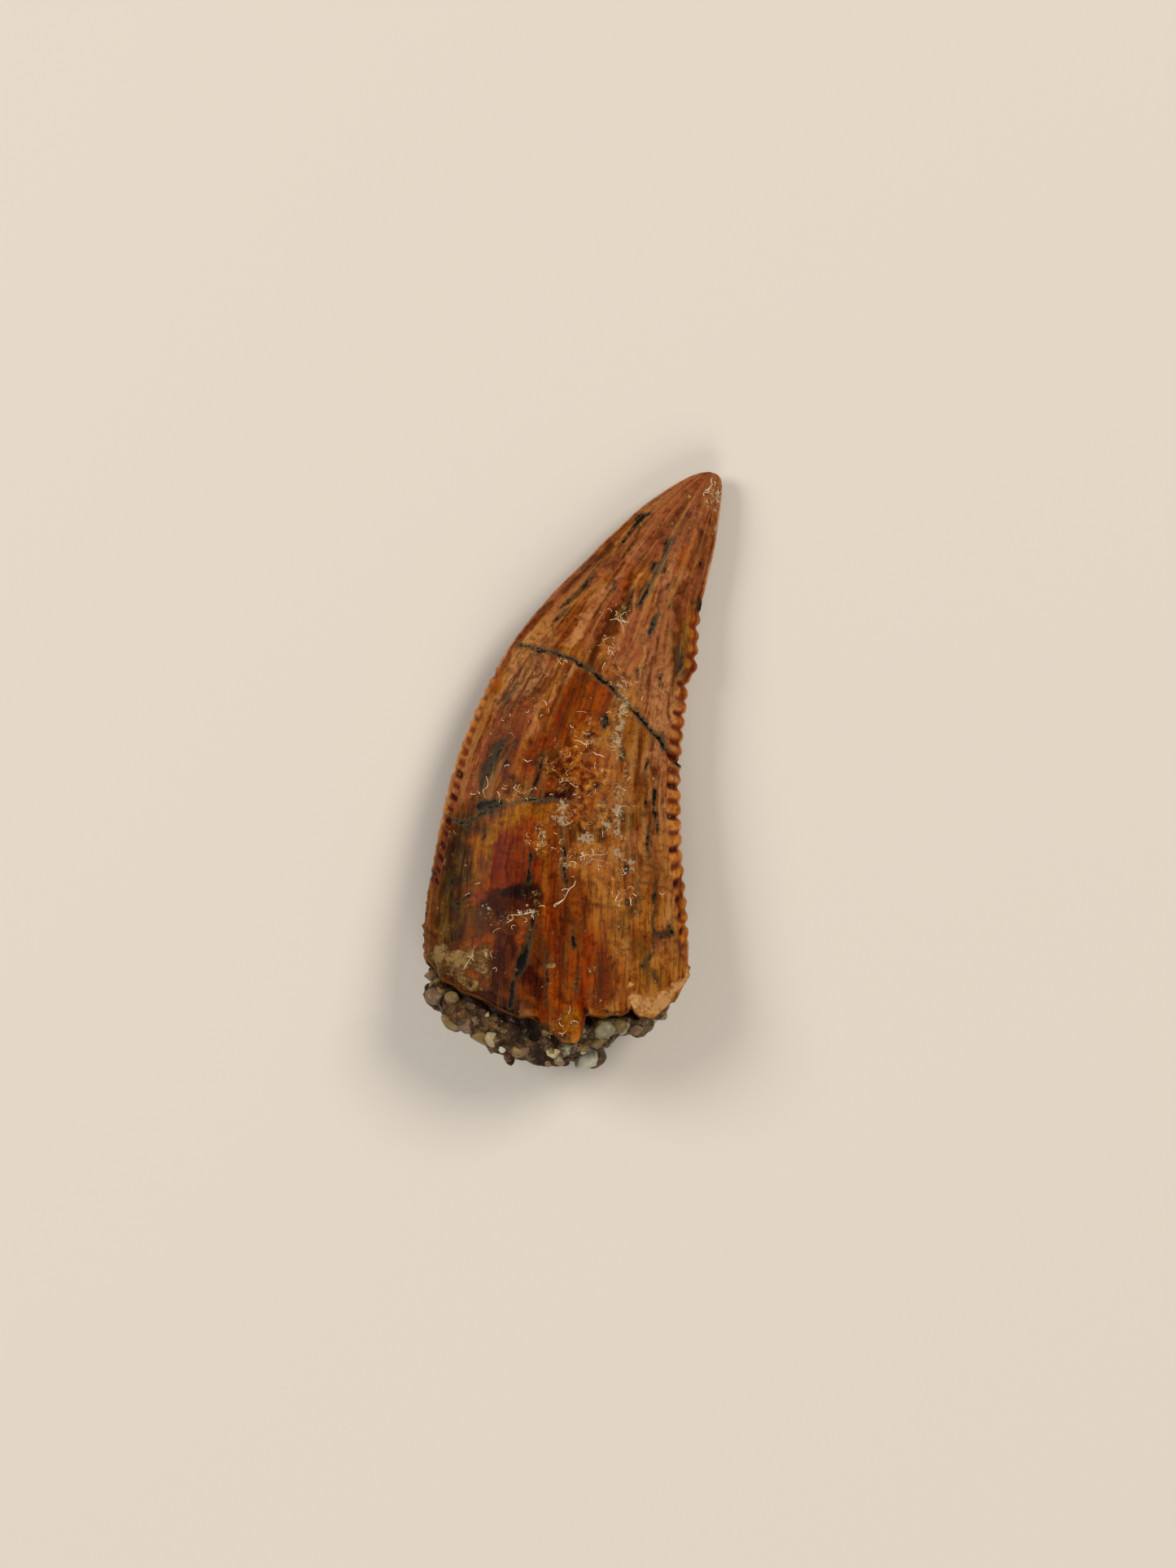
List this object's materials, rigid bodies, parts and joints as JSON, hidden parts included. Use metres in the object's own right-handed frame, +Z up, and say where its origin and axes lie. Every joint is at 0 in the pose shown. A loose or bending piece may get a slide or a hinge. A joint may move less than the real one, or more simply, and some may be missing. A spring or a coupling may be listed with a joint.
{
  "type": "fossil abelisaurid tooth",
  "caption": "Curved, flattened dinosaur tooth crown with two serrated edges, lying on its side, its broken base filled and crusted with cemented sand.",
  "frame": {"origin": "middle of the tooth's footprint, on the surface it lies on", "axes": "+Y from the broken base towards the tip, +Z up out of the surface it lies on, +X towards the distal edge"},
  "size_m": [0.0092, 0.0184, 0.004],
  "materials": {
    "enamel": "satin",
    "sandstone": "rough"
  },
  "bodies": {
    "root": {"crown": "enamel", "sand_matrix": "sandstone"}
  },
  "joints": []
}
